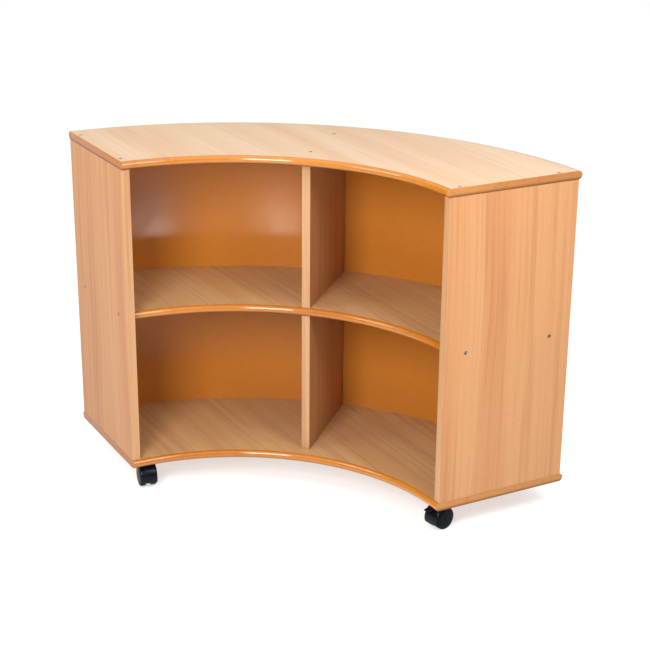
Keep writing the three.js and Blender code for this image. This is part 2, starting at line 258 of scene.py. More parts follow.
def moulded(name, body, painted_sheen, dust, gloss, **constants):
    """Moulded plastic: fine spark texture, lighter patches of painted sheen laid at random, a few scuffs, and
    dust where it rubs.
    """
    finish = Finish(name, **constants)
    place = finish.place()
    cloud = finish.noise(place, scale=35.0, detail=3.0)
    spark = finish.noise(place, scale=2600.0, detail=1.0)
    scuff = finish.noise(place, scale=180.0, detail=6.0, roughness=0.7)
    # painted sheen: lighter patches laid at random by cloud noise
    tint = finish.mix(finish.between(cloud, 0.35, 0.75), body, painted_sheen)
    scuff_mask = finish.between(scuff, 0.56, 0.72)
    tint = finish.mix(scuff_mask * 0.35, tint, dust)
    roughness = gloss + scuff_mask * 0.20 + (cloud - 0.5) * 0.12
    height = spark + scuff_mask * 0.4
    return finish.paint(Base_Color=tint, Roughness=roughness, Normal=finish.bump(height, 0.35, 0.00006))


def plated(name, bright, dull, gloss, **constants):
    """Zinc-plated steel: cloudy plating with fine scratches and a little tarnish."""
    finish = Finish(name, Metallic=1.0, **constants)
    place = finish.place()
    cloud = finish.noise(place, scale=160.0, detail=4.0)
    x, y, z = finish.parts(place)
    scratches = finish.noise(finish.vector(x * 300.0, y * 4000.0, z * 4000.0), detail=2.0)
    tarnish = finish.between(finish.noise(place, scale=420.0, detail=5.0), 0.52, 0.74)
    tint = finish.mix(finish.between(cloud, 0.35, 0.70), bright, dull)
    tint = finish.mix(tarnish * 0.45, tint, dull)
    roughness = gloss + cloud * 0.15 + tarnish * 0.15
    return finish.paint(Base_Color=tint, Roughness=roughness, Normal=finish.bump(scratches, 0.20, 0.00004))


def make_finishes():
    return {
        # One laminate in two tints: the top's paler tint is painted sheen, and the darker, warmer tint of the
        # base and shelf is painted shade inside the bays.
        "top_face_with_painted_sheen": beech("beech_laminate_top", shade(210, 183, 155), shade(205, 171, 139),
                          shade(177, 135, 103), 0.42, contrast=0.55, Specular_IOR_Level=0.3),
        "inner_face_with_painted_shade": beech("beech_laminate_inner", shade(196, 157, 112), shade(186, 142, 96),
                            shade(146, 100, 62), 0.42, contrast=0.9),
        "side_face": beech("beech_board_face", shade(192, 141, 95), shade(184, 128, 84),
                           shade(148, 91, 55), 0.46, contrast=0.9, Specular_IOR_Level=0.25),
        "edging": beech("beech_edging_strip", shade(187, 143, 100), shade(179, 130, 86),
                        shade(150, 98, 58), 0.36),
        # the nose and end lacquers darken their lower edges with painted shade
        "nose": lacquer("nose_lacquer", shade(168, 97, 18), shade(128, 62, 8), shade(180, 112, 32),
                        0.24, 0.08, painted_low_shade=0.85, Specular_IOR_Level=0.2, Coat_Weight=0.9,
                        Coat_Roughness=0.05),
        "end": lacquer("end_lacquer", shade(162, 103, 52), shade(118, 66, 28), shade(174, 118, 64),
                       0.34, 0.20, painted_low_shade=0.7, Specular_IOR_Level=0.25),
        "back": lacquer("back_lacquer", shade(191, 118, 43), shade(160, 88, 27), shade(197, 123, 48),
                        0.20, 0.05, uneven=0.5, Specular_IOR_Level=0.16),
        # the hood and wheel plastics mix in lighter patches of painted sheen
        "hood": moulded("hood_nylon", shade(8, 11, 15), shade(13, 17, 23), shade(38, 43, 50), 0.28,
                        Specular_IOR_Level=0.16, Specular_Tint=(0.72, 0.86, 1.0, 1.0)),
        "wheel": moulded("wheel_nylon", shade(7, 9, 12), shade(11, 13, 17), shade(36, 37, 40), 0.32,
                         Specular_IOR_Level=0.07, Specular_Tint=(0.80, 0.90, 1.0, 1.0)),
        # a dark brown strip on the dividers' rear edges: painted shadow in the gap against the back sheet
        "painted_gap_shadow": moulded("seal_strip", shade(40, 16, 6), shade(52, 22, 8), shade(64, 30, 14), 0.6),
        "zinc": plated("zinc_plating", shade(190, 192, 196), shade(135, 135, 134), 0.32),
        "screw": plated("screw_plating", shade(150, 146, 138), shade(84, 80, 74), 0.28),
    }


finishes = make_finishes()


# ---------------------------------------------------------------- meshes

def object_of(name, data):
    made = bpy.data.objects.new(name, data)
    bpy.context.scene.collection.objects.link(made)
    return made


def evaluated(obj, name):
    """The object with its modifiers applied, as a new plain mesh object; the old one is removed."""
    graph = bpy.context.evaluated_depsgraph_get()
    mesh = bpy.data.meshes.new_from_object(obj.evaluated_get(graph), preserve_all_data_layers=True,
                                           depsgraph=graph)
    mesh.name = name
    bpy.data.objects.remove(obj)
    return object_of(name, mesh)


def smooth(obj, degrees=35):
    """Smooth shading, with edges sharper than this kept crisp."""
    mesh = obj.data
    mesh.polygons.foreach_set("use_smooth", [True] * len(mesh.polygons))
    mesh.set_sharp_from_angle(angle=math.radians(degrees))
    return obj


def lofted(name, loops, material=None):
    """A closed mesh through loops of points that all have the same count, with a face over each end."""
    count = len(loops[0])
    points = [tuple(point) for loop in loops for point in loop]
    faces = [list(range(count))[::-1], list(range(len(points) - count, len(points)))]
    for level in range(len(loops) - 1):
        for i in range(count):
            j = (i + 1) % count
            low, high = level * count, (level + 1) * count
            faces.append([low + i, low + j, high + j, high + i])
    mesh = bpy.data.meshes.new(name)
    mesh.from_pydata(points, [], faces)
    mesh.validate()
    if material:
        mesh.materials.append(material)
    made = object_of(name, mesh)
    outward(made)
    return made


def turned(name, profile, steps, material=None):
    """A closed [radius, height] profile turned about the Z axis; a profile may start and end on the axis."""
    points, faces, rings = [], [], []
    for radius, height in profile:
        if radius < 1e-9:
            rings.append([len(points)] * steps)
            points.append((0, 0, height))
        else:
            rings.append(list(range(len(points), len(points) + steps)))
            for i in range(steps):
                turn = math.tau * i / steps
                points.append((radius * math.cos(turn), radius * math.sin(turn), height))
    for ring, following in zip(rings, rings[1:] + rings[:1]):
        for i in range(steps):
            j = (i + 1) % steps
            face = list(dict.fromkeys([ring[i], ring[j], following[j], following[i]]))
            if len(face) > 2:
                faces.append(face)
    mesh = bpy.data.meshes.new(name)
    mesh.from_pydata(points, [], faces)
    if material:
        mesh.materials.append(material)
    made = object_of(name, mesh)
    outward(made)
    return made


def signed_volume(mesh):
    total = 0.0
    for face in mesh.polygons:
        corners = [mesh.vertices[i].co for i in face.vertices]
        for second, third in zip(corners[1:], corners[2:]):
            total += corners[0].dot(second.cross(third)) / 6
    return total


def outward(obj):
    """Turns a closed mesh's faces to point out."""
    if signed_volume(obj.data) < 0:
        obj.data.flip_normals()
    return obj


def moved(obj, matrix):
    obj.data.transform(matrix)
    return obj


def joined(name, objects):
    """Several objects' meshes as one object, without welding them."""
    points, faces = [], []
    for obj in objects:
        start = len(points)
        points += [tuple(vertex.co) for vertex in obj.data.vertices]
        faces += [[start + i for i in face.vertices] for face in obj.data.polygons]
        bpy.data.objects.remove(obj)
    mesh = bpy.data.meshes.new(name)
    mesh.from_pydata(points, [], faces)
    return object_of(name, mesh)


def carved(obj, tool, operation="DIFFERENCE"):
    """obj with the tool cut out of it, joined to it, or kept in common; the tool is removed."""
    modifier = obj.modifiers.new("carve", "BOOLEAN")
    modifier.operation, modifier.object, modifier.solver = operation, tool, "EXACT"
    made = evaluated(obj, obj.name)
    bpy.data.objects.remove(tool)
    return made


def rounded(obj, width, segments=2, degrees=32):
    modifier = obj.modifiers.new("round", "BEVEL")
    modifier.width, modifier.segments = width, segments
    modifier.limit_method, modifier.angle_limit = "ANGLE", math.radians(degrees)
    return evaluated(obj, obj.name)


def painted(obj, material):
    obj.data.materials.clear()
    obj.data.materials.append(material)
    return obj


def lay_grain(obj, along, across, shift):
    """Stores each point's place along the grain, across it and through the board. The shift is the piece's
    own place on the sheet it was cut from, so that no two boards look alike."""
    through = along.cross(across)
    layer = obj.data.attributes.new("grain", "FLOAT_VECTOR", "POINT")
    for vertex, value in zip(obj.data.vertices, layer.data):
        place = vertex.co
        value.vector = Vector((place.dot(along), place.dot(across), place.dot(through))) + Vector(shift)
    return obj


def lay_rise(obj, low):
    """Stores how far up its board each point is, from 0 at the board's underside to 1 at its upper face."""
    layer = obj.data.attributes.new("rise", "FLOAT", "POINT")
    for vertex, value in zip(obj.data.vertices, layer.data):
        value.value = (vertex.co.z - low) / BOARD
    return obj


def finished(obj, body, slot, *nodes):
    """The last step of every piece: what it rides on and the nodes it stands for. The slot of its finish is
    not used.
    """
    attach(obj, body)
    if nodes:
        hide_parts(*nodes)
    return obj


# ---------------------------------------------------------------- geometry node groups

def new_group(name, sockets):
    """A geometry node group with these named inputs, and a geometry output."""
    group = bpy.data.node_groups.new(name, "GeometryNodeTree")
    group.interface.new_socket("Geometry", in_out="OUTPUT", socket_type="NodeSocketGeometry")
    for socket, kind in sockets.items():
        group.interface.new_socket(socket, in_out="INPUT", socket_type=kind)
    tree = Tree(group)
    entry = group.nodes.new("NodeGroupInput")
    return group, tree, {socket: Field(tree, entry.outputs[socket]) for socket in sockets}


def close_group(tree, geometry, finish):
    real = tree.node("GeometryNodeRealizeInstances", {}, {"Geometry": geometry})
    faced = tree.node("GeometryNodeSetMaterial", {}, {"Geometry": real, "Material": finish})
    exit_node = tree.nodes.new("NodeGroupOutput")
    tree.links.new(faced.socket, exit_node.inputs[0])


def run_group(name, group, values, aids=()):
    """Runs the group once with these input values and returns its result as a plain mesh object."""
    carrier = object_of(name, bpy.data.meshes.new(name))
    modifier = carrier.modifiers.new("build", "NODES")
    modifier.node_group = group
    names = {item.name: item.identifier for item in group.interface.items_tree if item.in_out == "INPUT"}
    for socket, value in values.items():
        modifier[names[socket]] = value
    made = evaluated(carrier, name)
    for aid in aids:
        bpy.data.objects.remove(aid)
    return made


def ring_sweep_group():
    """Sweeps a profile round the curve. The path runs from y -1 to 1, which is turned into the angle, and
    the ends lie on planes parallel to the end radials at the offset from them."""
    group, tree, entry = new_group("ring_sweep", {
        "Profile": "NodeSocketObject", "End Angle": "NodeSocketFloat", "End Offset": "NodeSocketFloat",
        "Centre Y": "NodeSocketFloat", "Steps": "NodeSocketInt", "Finish": "NodeSocketMaterial",
    })
    outline = tree.node("GeometryNodeObjectInfo", {}, {"Object": entry["Profile"]}, output="Geometry")
    profile = tree.node("GeometryNodeMeshToCurve", {}, {"Mesh": outline})
    line = tree.node("GeometryNodeCurvePrimitiveLine", {}, {"Start": (0, -1, 0), "End": (0, 1, 0)})
    level = tree.node("GeometryNodeSetCurveNormal", {"mode": "Z_UP"}, {"Curve": line})
    path = tree.node("GeometryNodeResampleCurve", {"mode": "COUNT"},
                     {"Curve": level, "Count": entry["Steps"]})
    inputs = {"Curve": path, "Profile Curve": profile, "Fill Caps": True}
    swept = tree.node("GeometryNodeCurveToMesh", {}, inputs)
    radius, travel, height = tree.parts(tree.node("GeometryNodeInputPosition"))
    reach = entry["End Angle"] + tree.math("ARCSINE", entry["End Offset"] / radius)
    turn = travel * reach * -1.0
    x = radius * tree.math("SINE", turn)
    y = radius * tree.math("COSINE", turn) + entry["Centre Y"]
    place = tree.vector(x, y, height)
    bent = tree.node("GeometryNodeSetPosition", {}, {"Geometry": swept, "Position": place})
    close_group(tree, bent, entry["Finish"])
    return group


def scatter_group():
    """Puts a copy of a piece at each point, its Z axis along the point's outward direction, turned about it
    by a random angle that comes from the seed."""
    group, tree, entry = new_group("scatter", {
        "Places": "NodeSocketObject", "Piece": "NodeSocketObject", "Seed": "NodeSocketInt",
        "Finish": "NodeSocketMaterial",
    })
    places = tree.node("GeometryNodeObjectInfo", {}, {"Object": entry["Places"]}, output="Geometry")
    piece = tree.node("GeometryNodeObjectInfo", {}, {"Object": entry["Piece"]}, output="Geometry")
    outward_way = tree.node("GeometryNodeInputNamedAttribute", {"data_type": "FLOAT_VECTOR"},
                            {"Name": "outward"})
    facing = tree.node("FunctionNodeAlignRotationToVector", {"axis": "Z"}, {"Vector": outward_way})
    spin = tree.node("FunctionNodeRandomValue", {"data_type": "FLOAT"},
                     {2: 0.0, 3: math.tau, "Seed": entry["Seed"]}, output=1)
    turn = tree.node("FunctionNodeAxisAngleToRotation", {}, {"Axis": (0, 0, 1), "Angle": spin})
    rotation = tree.node("FunctionNodeRotateRotation", {"rotation_space": "LOCAL"},
                         {"Rotation": facing, "Rotate By": turn})
    copies = tree.node("GeometryNodeInstanceOnPoints", {},
                       {"Points": places, "Instance": piece, "Rotation": rotation})
    close_group(tree, copies, entry["Finish"])
    return group


ring_sweep = ring_sweep_group()
scatter = scatter_group()


def profile_object(points):
    """A closed outline of [radius, height] points, clockwise, as the sweep reads it: height runs down."""
    mesh = bpy.data.meshes.new("profile")
    count = len(points)
    mesh.from_pydata([(radius, -height, 0) for radius, height in points],
                     [(i, (i + 1) % count) for i in range(count)], [])
    return object_of("profile", mesh)


def ring_piece(name, points, end_offset, material):
    outline = profile_object(points)
    values = {"Profile": outline, "End Angle": END_ANGLE, "End Offset": end_offset, "Centre Y": CENTRE.y,
              "Steps": RING_STEPS + 1, "Finish": material}
    return outward(run_group(name, ring_sweep, values, [outline]))


def scattered(name, places, piece, seed, material):
    """Copies of a piece at [position, outward direction] places."""
    mesh = bpy.data.meshes.new("places")
    mesh.from_pydata([tuple(position) for position, _ in places], [], [])
    layer = mesh.attributes.new("outward", "FLOAT_VECTOR", "POINT")
    for value, (_, direction) in zip(layer.data, places):
        value.vector = direction
    holder = object_of("places", mesh)
    values = {"Places": holder, "Piece": piece, "Seed": seed, "Finish": material}
    return run_group(name, scatter, values, [holder, piece])


# ---------------------------------------------------------------- ring boards

def nose_profile(radius, middle, facing):
    """Half round, its flat side at the given radius; facing is -1 for a front nose and 1 for a rear one."""
    points = []
    for i in range(NOSE_STEPS + 1):
        angle = math.pi * i / NOSE_STEPS
        points.append((radius + facing * HALF_BOARD * math.sin(angle), middle + HALF_BOARD * math.cos(angle)))
    return points if facing > 0 else points[::-1]


def core_profile(inner, outer, bottom, top):
    """The flat part of a board, with its corners eased where the noses meet it."""
    ease = GLUE_LINE
    return [(inner, bottom + ease), (inner, top - ease), (inner + ease, top), (outer - ease, top),
            (outer, top - ease), (outer, bottom + ease), (outer - ease, bottom), (inner + ease, bottom)]


def end_loop(distance, inset, middle, along, outward_way):
    """The end outline of a ring board at a distance outside the end radial, drawn in by the inset."""
    reach_in = math.sqrt(INNER_RADIUS**2 - distance**2) + HALF_BOARD
    reach_out = math.sqrt(OUTER_RADIUS**2 - distance**2) - HALF_BOARD
    radius = HALF_BOARD - inset
    loop = []
    for centre, start in ((reach_out, 90), (reach_in, 270)):
        for i in range(NOSE_STEPS + 1):
            angle = math.radians(start - 180 * i / NOSE_STEPS)
            reach = centre + radius * math.cos(angle)
            height = middle + radius * math.sin(angle)
            loop.append(CENTRE + along * reach + outward_way * distance + UP * height)
    return loop


def end_coat(name, middle, side):
    """The lacquer film over a straight end, with a softened rim."""
    along, outward_way = end_axes(side)
    levels = [(HALF_BOARD - END_COAT, 0.0), (HALF_BOARD - 0.6 * END_COAT, 0.0),
              (HALF_BOARD - 0.25 * END_COAT, 0.12 * MM), (HALF_BOARD, 0.5 * MM)]
    loops = [end_loop(distance, inset, middle, along, outward_way) for distance, inset in levels]
    return smooth(lofted(name, loops, finishes["end"]), 50)


def make_ring_board(name, node, low, high, face, shift, screws=()):
    """Top or base: a flat core between two rounded noses, its straight ends lacquered."""
    middle = (low + high) / 2
    inner, outer = INNER_RADIUS + HALF_BOARD, OUTER_RADIUS - HALF_BOARD
    offset = HALF_BOARD - END_COAT
    core = ring_piece(f"{name}_board", core_profile(inner, outer, low, high), offset, face)
    if screws:
        core = painted(carved(core, countersinks(screws)), face)
    lay_grain(smooth(core), SHEET_GRAIN, SHEET_ACROSS, shift)
    finished(core, "carcass", "beech_laminate", node)
    for place, radius, facing in (("front", inner, -1), ("rear", outer, 1)):
        nose = ring_piece(f"{name}_{place}_nose", nose_profile(radius, middle, facing), offset,
                          finishes["nose"])
        finished(lay_rise(smooth(nose), low), "carcass", "amber_lacquer")
    for side, sign in (("left", -1), ("right", 1)):
        coat = lay_rise(end_coat(f"{name}_{side}_end", middle, sign), low)
        finished(coat, "carcass", "amber_lacquer")


def make_shelf():
    rear = back_high.y - CENTRE.y - (back_thickness() + 0.3 * MM)
    inner = SHELF_FRONT_RADIUS + HALF_BOARD
    middle = (shelf_low.z + shelf_high.z) / 2
    offset = -HALF_BOARD - 0.1 * MM
    core = ring_piece("shelf_board", core_profile(inner, rear, shelf_low.z, shelf_high.z), offset,
                      finishes["inner_face_with_painted_shade"])
    lay_grain(smooth(core), SHEET_GRAIN, SHEET_ACROSS, (0.4, 0.9, 0.4))
    finished(core, "carcass", "beech_laminate", "shelf")
    nose = ring_piece("shelf_front_nose", nose_profile(inner, middle, -1), offset, finishes["nose"])
    finished(lay_rise(smooth(nose), shelf_low.z), "carcass", "amber_lacquer")


def back_thickness():
    """The back sheet's thickness, from its rear radius and the front face the shelf stops at."""
    return (back_high.y - CENTRE.y) - BACK_FACE_RADIUS


def make_back():
    let_in = 1 * MM
    low, high = base_high.z - let_in, top_low.z + let_in
    outer = back_high.y - CENTRE.y
    points = [(BACK_FACE_RADIUS, low), (BACK_FACE_RADIUS, high), (outer, high), (outer, low)]
    sheet = ring_piece("back_sheet", points, -HALF_BOARD + let_in, finishes["back"])
    finished(smooth(sheet), "carcass", "amber_lacquer", "back_panel")


# ---------------------------------------------------------------- upright boards

def eased_block(name, low, high, ease, material, frame_axes):
    """A block between two corners in its own axes, along, outward and up, with every long corner eased."""
    along, outward_way = frame_axes
    def at(reach, side, height):
        return CENTRE + along * reach + outward_way * side + UP * height
    loops = []
    for height, draw in ((low[2], ease), (low[2] + ease, 0), (high[2] - ease, 0), (high[2], ease)):
        reach_low, reach_high = low[0] + draw, high[0] - draw
        side_low, side_high = low[1] + draw, high[1] - draw
        loops.append([at(reach_low + ease, side_low, height), at(reach_high - ease, side_low, height),
                      at(reach_high, side_low + ease, height), at(reach_high, side_high - ease, height),
                      at(reach_high - ease, side_high, height), at(reach_low + ease, side_high, height),
                      at(reach_low, side_high - ease, height), at(reach_low, side_low + ease, height)])
    return lofted(name, loops, material)


def make_upright(name, node, reach, heights, axes, shift, rear_finish, screws=()):
    """A board standing on a radial line, with edging strips on its front and rear edges; on the dividers the
    rear strip is a painted shadow.
    """
    along, outward_way = axes
    front, rear = reach
    low, high = heights
    core = eased_block(f"{name}_board", (front + EDGING, -HALF_BOARD, low), (rear - EDGING, HALF_BOARD, high),
                       GLUE_LINE, finishes["side_face"], axes)
    if screws:
        core = painted(carved(core, countersinks(screws)), finishes["side_face"])
    lay_grain(smooth(core), UP, along, shift)
    finished(core, "carcass", "beech_board", node)
    for place, start, look in (("front", front, "edging"), ("rear", rear - EDGING, rear_finish)):
        strip = eased_block(f"{name}_{place}_edging", (start, -HALF_BOARD, low),
                            (start + EDGING, HALF_BOARD, high), EASED, finishes[look], axes)
        lay_grain(smooth(strip), UP, outward_way, (shift[0], shift[1] + 0.3, shift[2]))
        finished(strip, "carcass", "beech_edging")


def make_uprights(screws):
    for side, sign in (("left", -1), ("right", 1)):
        node = f"side_panel_{side}"
        low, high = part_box(node)
        own = [screw for screw in screws if side in screw[0]]
        far = (max(abs(low.x), abs(high.x)), high.y - CENTRE.y)
        near = (min(abs(low.x), abs(high.x)), low.y - CENTRE.y)
        rear = (far[0] + far[1]) / math.sqrt(2) - HALF_BOARD
        front = (near[0] + near[1]) / math.sqrt(2) + HALF_BOARD
        make_upright(f"side_{side}", node, (front, rear), (low.z, high.z), end_axes(sign),
                     (0.35 * sign, 0.12 + 0.2 * sign, 1.7 * sign), "edging", own)
    back_reach = math.sqrt(BACK_FACE_RADIUS**2 - HALF_BOARD**2) - BACK_GAP
    for level, shift in (("upper", (0.2, 0.7, 4.1)), ("lower", (0.5, 0.4, 5.3))):
        node = f"divider_{level}"
        low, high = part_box(node)
        # the dividers' rear strips are a painted shadow in the gap against the back sheet
        make_upright(node, node, (low.y - CENTRE.y, back_reach), (low.z, high.z),
                     (Vector((0, 1, 0)), Vector((1, 0, 0))), shift, "painted_gap_shadow")


# ---------------------------------------------------------------- screws

HEAD_RADIUS = 4 * MM
HEAD_SINK = 0.35 * MM              # head below the board's face
RECESS_RADIUS = 4.6 * MM           # mouth of the countersunk hole
PLATE_HEAD_HEIGHT = 2.0 * MM
PANEL_SCREW_SEED = 4
PLATE_SCREW_SEED = 9


def countersinks(screws):
    """The tool that cuts the countersunk holes for these [name, position, outward] screws."""
    profile = [(0, -9 * MM), (2.4 * MM, -9 * MM), (2.4 * MM, -3.2 * MM), (4.25 * MM, -1.2 * MM),
               (RECESS_RADIUS - 0.3 * MM, -0.3 * MM), (RECESS_RADIUS, 0.3 * MM), (0, 0.3 * MM)]
    tools = []
    for _, position, direction in screws:
        tool = turned("countersink", profile, 32)
        tools.append(moved(tool, aimed(position, direction)))
    return joined("countersinks", tools)


def aimed(position, direction):
    turn = Vector((0, 0, 1)).rotation_difference(Vector(direction))
    return Matrix.Translation(position) @ turn.to_matrix().to_4x4()


def panel_screw_places():
    """Name, position of the head on the board's face and outward direction of each panel screw."""
    places = []
    for side, sign in (("left", -1), ("right", 1)):
        along, direction = end_axes(sign)
        for row in ("front", "rear"):
            low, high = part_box(f"shelf_screw_{side}_{row}")
            middle = (low + high) / 2
            reach = (middle - CENTRE).dot(along)
            position = CENTRE + along * reach + direction * HALF_BOARD + UP * middle.z
            places.append((f"shelf_screw_{side}_{row}", position, direction))
    for side in ("left", "middle", "right"):
        for row in ("front", "rear"):
            low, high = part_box(f"top_screw_{side}_{row}")
            middle = (low + high) / 2
            places.append((f"top_screw_{side}_{row}", Vector((middle.x, middle.y, top_high.z)), UP))
    return places


def cross_recess(depth, reach, width):
    """The tool that cuts a tapered cross recess, its mouth above the head's face."""
    arms = []
    for turn in (0, math.pi / 2):
        loops = []
        for height, share in ((-depth, 0.25), (0.5 * MM, 1.0)):
            half_length, half_width = reach * share, width / 2 * (0.6 + 0.4 * share)
            loops.append([Vector((x, y, height)) for x, y in
                          ((-half_length, -half_width), (half_length, -half_width),
                           (half_length, half_width), (-half_length, half_width))])
        arms.append(moved(lofted("arm", loops), Matrix.Rotation(turn, 4, "Z")))
    first, second = arms
    return carved(first, second, "UNION")


def panel_screw():
    """Countersunk head with a cross recess, and the start of its shank."""
    profile = [(0, -8 * MM), (2.0 * MM, -8 * MM), (2.0 * MM, -2.9 * MM), (3.7 * MM, -0.75 * MM),
               (HEAD_RADIUS - 0.05 * MM, -0.45 * MM), (HEAD_RADIUS, -0.25 * MM),
               (HEAD_RADIUS - 0.12 * MM, -0.05 * MM), (HEAD_RADIUS - 0.35 * MM, 0), (0, 0.05 * MM)]
    head = carved(turned("screw", profile, 32), cross_recess(2.0 * MM, 2.2 * MM, 1.0 * MM))
    return moved(head, Matrix.Translation((0, 0, -HEAD_SINK)))


def plate_screw():
    """Pan head with a cross recess, pointing down; the origin is where the head meets the plate."""
    profile = in_mm([(0, -3), (2.0, -3), (2.0, 0), (3.5, 0), (3.6, 0.5), (3.45, 1.1), (2.9, 1.65),
                     (1.8, 1.93), (0, 2.0)])
    tool = moved(cross_recess(1.5 * MM, 1.9 * MM, 0.9 * MM), Matrix.Translation((0, 0, PLATE_HEAD_HEIGHT)))
    return carved(turned("screw", profile, 28), tool)


def make_panel_screws(places):
    screws = scattered("panel_screws", [(position, way) for _, position, way in places], panel_screw(),
                       PANEL_SCREW_SEED, finishes["screw"])
    finished(smooth(screws), "carcass", "screw_steel", *[name for name, _, _ in places])


# ---------------------------------------------------------------- castors, in their own frame
# pin on the Z axis, axle along X, wheels trailing towards -Y

CASTOR_HEIGHT = 62 * MM
WHEEL_WIDTH = 12 * MM
HALF_WHEEL_GAP = 6 * MM
AXLE_Y = -13 * MM
AXLE_Z = 25 * MM                   # the treads, 24.8 mm in radius, stand just clear of the floor
AXLE_BORE_RADIUS = 3.3 * MM
PIN_RADIUS = 3.5 * MM
PIN_BOTTOM = 34.2 * MM
PIN_BORE_RADIUS = 3.8 * MM
PIN_BORE_BOTTOM = 33.6 * MM
HOOD_INNER = 26.5 * MM
HOOD_OUTER = 29 * MM
HOOD_HALF_WIDTH = 18.5 * MM
WEB_RADIUS = 15 * MM
WEB_HALF = 5.7 * MM
PAST_HOOD = 40 * MM                # a reach along X that clears the hood
LEVER_Y = -27 * MM                 # the brake lever pivots here
LEVER_Z = 53.2 * MM
EAR_PLACE = 9 * MM                 # a lever ear, from the middle of the castor
CASTOR_NAMES = ("front_left", "front_right", "rear_left", "rear_right")
BRAKED = ("front_right", "rear_left")


def arc(centre, radius, start, stop, steps):
    points = []
    for i in range(steps + 1):
        angle = math.radians(start + (stop - start) * i / steps)
        points.append((centre[0] + radius * math.cos(angle), centre[1] + radius * math.sin(angle)))
    return points


def sideways(name, outline, half_width):
    """An outline of [y, z] points with a width along X."""
    loops = [[(x, y, z) for y, z in outline] for x in (-half_width, half_width)]
    return lofted(name, loops)


def upright(name, outline, low, high):
    """An outline of [x, y] points with a height along Z."""
    return lofted(name, [[(x, y, z) for x, y in outline] for z in (low, high)])


def rod(name, radius, low, high, y, z, steps=48):
    """A round bar along X."""
    circle = arc((y, z), radius, 0, 360 - 360 / steps, steps - 1)
    return lofted(name, [[(x, *point) for point in circle] for x in (low, high)])


def post(name, radius, low, high, steps=48):
    """A round bar along Z, on the axis."""
    return upright(name, arc((0, 0), radius, 0, 360 - 360 / steps, steps - 1), low, high)


def hood_barrel():
    """The barrel that rounds the hood's two sides over, about the axle."""
    profile = [(0, -18.5), (27.5, -18.5), (28.1, -17.6), (28.6, -16.2), (28.9, -14.2), (29.2, -11.5),
               (29.2, 11.5), (28.9, 14.2), (28.6, 16.2), (28.1, 17.6), (27.5, 18.5), (0, 18.5)]
    barrel = turned("barrel", in_mm(profile), 96)
    place = Matrix.Translation((0, AXLE_Y, AXLE_Z)) @ Matrix.Rotation(math.pi / 2, 4, "Y")
    return moved(barrel, place)


def castor_hood(braked):
    """Cap over both wheels, the web between them and the pin boss, in one moulding."""
    trailing = [(2 * AXLE_Y - y, z) for y, z in arc((AXLE_Y, AXLE_Z), HOOD_OUTER, -20, 140, 48)]
    web = [(2 * AXLE_Y - y, z) for y, z in arc((AXLE_Y, AXLE_Z), WEB_RADIUS, 175, 340, 24)]
    outline = trailing + in_mm([(7.4, 34), (6, 30)]) + web
    body = sideways("hood", outline, HOOD_HALF_WIDTH)
    half_plan = [(18.5, -44), (18.5, -20), (17.4, -12), (14, 2), (11.5, 7.4), (9, 11.2), (4, 12)]
    plan = in_mm(half_plan + [(-x, y) for x, y in half_plan[::-1]])
    body = carved(body, upright("plan", plan, 0, CASTOR_HEIGHT), "INTERSECT")
    body = carved(body, hood_barrel(), "INTERSECT")
    body = carved(body, post("boss", 9.6 * MM, 40 * MM, 58.6 * MM), "UNION")
    if braked:
        for side in (-1, 1):
            ear = sideways("ear", in_mm([(-31, 46), (-23, 46), (-24.4, 55.2), (-29.6, 55.2)]), 1.4 * MM)
            body = carved(body, moved(ear, Matrix.Translation((side * EAR_PLACE, 0, 0))), "UNION")
    for side in (-1, 1):
        low, high = sorted((side * WEB_HALF, side * PAST_HOOD))
        body = carved(body, rod("wheel_space", HOOD_INNER, low, high, AXLE_Y, AXLE_Z, 96))
    body = carved(body, post("pin_bore", PIN_BORE_RADIUS, PIN_BORE_BOTTOM, CASTOR_HEIGHT))
    body = carved(body, rod("axle_bore", AXLE_BORE_RADIUS, -PAST_HOOD, PAST_HOOD, AXLE_Y, AXLE_Z))
    return smooth(painted(rounded(body, 0.5 * MM), finishes["hood"]), 30)


def castor_wheel(side):
    """Crowned outer face with a rim step and a hub cap; hollow inner side with a hub."""
    face = [(23.4, -0.1), (22.5, 0.5), (20.4, 1.1), (19.7, 1.0), (19.2, 1.05), (18.6, 1.5), (15, 1.85),
            (12, 2.05), (8, 2.2), (6.2, 2.25), (5.8, 1.7), (5.2, 1.7), (4.9, 2.35), (3, 2.46), (0, 2.5)]
    tread = [(23.6, 0), (24.3, 0.4), (24.7, 1.2), (24.8, 2.2), (24.8, 3.4), (24.6, 3.6), (24.6, 4.0),
             (24.8, 4.2), (24.8, 7.0), (24.6, 7.2), (24.6, 7.6), (24.8, 7.8), (24.8, 9.0), (24.6, 10.1),
             (24.1, 11.1)]
    inner = [(0, 10), (3.3, 10), (3.3, 0.2), (3.6, 0), (6.3, 0), (6.5, 0.3), (6.7, 7.6), (7.2, 8),
             (19.4, 8), (19.9, 7.4), (20.2, 0.4), (20.6, 0)]
    profile = in_mm(inner + tread) + [(r * MM, WHEEL_WIDTH + h * MM) for r, h in face]
    wheel = turned("wheel", profile, 72, finishes["wheel"])
    turn = Matrix.Rotation(side * math.pi / 2, 4, "Y")
    place = Matrix.Translation((side * HALF_WHEEL_GAP, AXLE_Y, AXLE_Z))
    return smooth(moved(wheel, place @ turn), 28)


